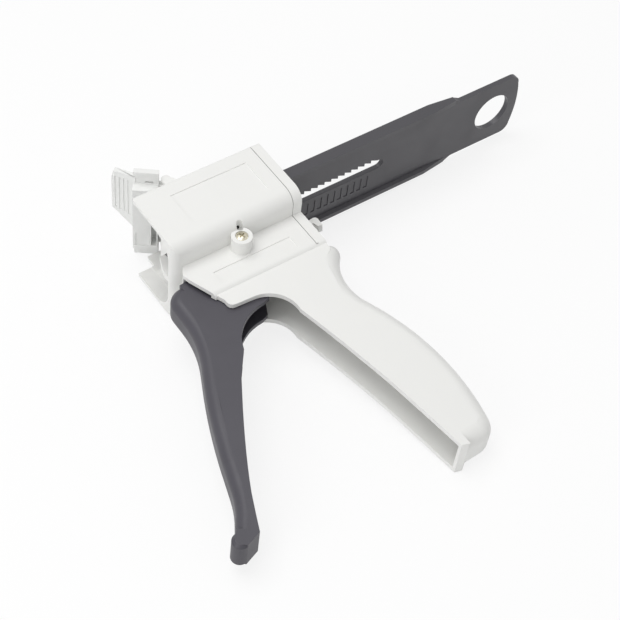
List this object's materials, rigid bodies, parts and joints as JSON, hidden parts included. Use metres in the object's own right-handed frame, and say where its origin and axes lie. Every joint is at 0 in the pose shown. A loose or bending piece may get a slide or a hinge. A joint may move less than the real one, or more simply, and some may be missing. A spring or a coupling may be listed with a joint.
{
  "type": "caulking gun",
  "caption": "Hand-operated two-barrel cartridge applicator gun with a ratcheting toothed plunger, pivoting trigger, lever-up cartridge latch and plunger release.",
  "frame": {"origin": "the cartridge mount: midway between the two barrel axes, in the plane of the nose's front edge", "axes": "+X rearward along the plunger, +Y towards the top of the gun, +Z towards the side cover (the gun lies on its -Z side)"},
  "size_m": [0.2614, 0.1964, 0.0552],
  "materials": {
    "housing_white": "satin",
    "trigger_grey": "satin",
    "plunger_grey": "satin",
    "drive_plastic": "satin",
    "latch_grey": "satin",
    "plain_steel": "ground",
    "screw_steel": "zinc plated",
    "spring_steel": "drawn wire"
  },
  "bodies": {
    "housing": {"main_shell": "housing_white", "side_cover": "housing_white", "pivot_bush": "plain_steel", "pivot_screw": "screw_steel", "pivot_nut": "screw_steel", "latch_pin": "plain_steel", "latch_spring": "spring_steel", "trigger_spring": "spring_steel", "release_pin": "screw_steel", "release_spring": "spring_steel", "top_screw_front": "screw_steel", "top_screw_rear": "screw_steel", "grip_screw_upper": "screw_steel", "grip_screw_lower": "screw_steel"},
    "trigger": {"trigger": "trigger_grey", "drive_pin": "plain_steel"},
    "carriage": {"carriage": "drive_plastic", "pawl_pin": "plain_steel", "pawl_spring": "spring_steel"},
    "pawl": {"pawl": "plain_steel"},
    "plunger": {"plunger": "plunger_grey", "piston_near": "plunger_grey", "piston_far": "plunger_grey", "piston_screw_near": "screw_steel", "piston_screw_far": "screw_steel"},
    "latch": {"latch": "latch_grey"},
    "release_lever": {"release_lever": "housing_white"}
  },
  "joints": [
    {"name": "trigger_pivot", "type": "hinge", "parent": "housing", "child": "trigger", "pos_m": [0.033, -0.019, 0], "axis": [0, 0, 1], "range_deg": [0, 36], "stiffness_Nm_per_rad": 0.35, "springref_deg": -20.05, "deforming": ["trigger_spring"]},
    {"name": "carriage_slide", "type": "slide", "parent": "housing", "child": "carriage", "axis": [-1, 0, 0], "range_m": [0, 0.00618]},
    {"name": "pawl_pivot", "type": "hinge", "parent": "carriage", "child": "pawl", "pos_m": [0.048, 0, -0.0006], "axis": [0, 1, 0], "range_deg": [0, 7.2], "deforming": ["pawl_spring"]},
    {"name": "plunger_slide", "type": "slide", "parent": "housing", "child": "plunger", "axis": [-1, 0, 0], "range_m": [0, 0.08418]},
    {"name": "latch_hinge", "type": "hinge", "parent": "housing", "child": "latch", "pos_m": [0.0205, 0.0242, 0], "axis": [0, 0, 1], "range_deg": [-50, 36], "deforming": ["latch_spring"]},
    {"name": "release_hinge", "type": "hinge", "parent": "housing", "child": "release_lever", "pos_m": [0.062, 0, -0.002], "axis": [0, -1, 0], "range_deg": [-8, 0], "stiffness_Nm_per_rad": 0.02, "springref_deg": 8.59, "deforming": ["release_spring"]}
  ],
  "couplings": [
    {"joint": "carriage_slide", "follows": "trigger_pivot", "m_per_rad": 0.009836}
  ]
}
